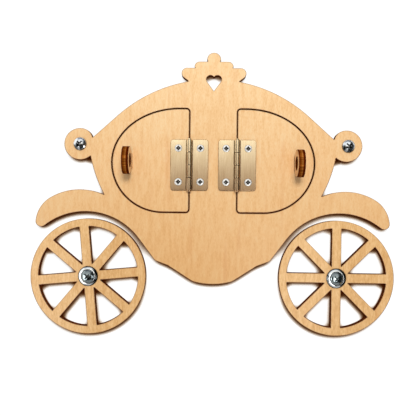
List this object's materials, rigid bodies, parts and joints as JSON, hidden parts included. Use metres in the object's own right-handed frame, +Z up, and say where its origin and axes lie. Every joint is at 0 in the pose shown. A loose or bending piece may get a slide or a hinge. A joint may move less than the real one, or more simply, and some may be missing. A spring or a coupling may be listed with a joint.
{
  "type": "wooden busy board",
  "caption": "Laser-cut plywood carriage for a busy board: domed body panel with mudguards, curved doors on steel butt hinges with ring pulls, and spoked wheels that turn on screws.",
  "frame": {"origin": "on the back face of the body panel, midway between the two wheels and level with their axles", "axes": "+X to the right as seen from the front, +Y back into the board it is screwed to, +Z up"},
  "size_m": [0.2732, 0.037, 0.2124],
  "materials": {
    "plywood": "bare sanded birch plywood with dark laser-burnt edges",
    "hinge_plate": "satin, faintly golden plate",
    "plated_screw": "bright nickel plate",
    "plated_washer": "bright nickel plate"
  },
  "bodies": {
    "carriage": {"body_panel": "plywood", "hinge_leaf_body_left": "hinge_plate", "hinge_pin_left": "hinge_plate", "hinge_screws_body_left": "plated_screw", "axle_screw_left": "plated_screw", "cup_washer_left": "plated_washer", "spacer_washer_left": "plated_washer", "lamp_screw_left": "plated_screw", "hinge_leaf_body_right": "hinge_plate", "hinge_pin_right": "hinge_plate", "hinge_screws_body_right": "plated_screw", "axle_screw_right": "plated_screw", "cup_washer_right": "plated_washer", "spacer_washer_right": "plated_washer", "lamp_screw_right": "plated_screw"},
    "left_door": {"door_left": "plywood", "pull_left": "plywood", "hinge_leaf_door_left": "hinge_plate", "hinge_screws_door_left": "plated_screw"},
    "right_door": {"door_right": "plywood", "pull_right": "plywood", "hinge_leaf_door_right": "hinge_plate", "hinge_screws_door_right": "plated_screw"},
    "left_wheel": {"wheel_left": "plywood"},
    "right_wheel": {"wheel_right": "plywood"}
  },
  "joints": [
    {"name": "left_door_hinge", "type": "hinge", "parent": "carriage", "child": "left_door", "pos_m": [-0.018, -0.0073, 0.0842], "axis": [0, 0, 1], "range_deg": [0, 90]},
    {"name": "right_door_hinge", "type": "hinge", "parent": "carriage", "child": "right_door", "pos_m": [0.018, -0.0073, 0.0842], "axis": [0, 0, -1], "range_deg": [0, 90]},
    {"name": "left_wheel_spin", "type": "hinge", "parent": "carriage", "child": "left_wheel", "pos_m": [-0.09329, -0.00365, 0], "axis": [0, 1, 0], "continuous": true},
    {"name": "right_wheel_spin", "type": "hinge", "parent": "carriage", "child": "right_wheel", "pos_m": [0.09329, -0.00365, 0], "axis": [0, 1, 0], "continuous": true}
  ]
}
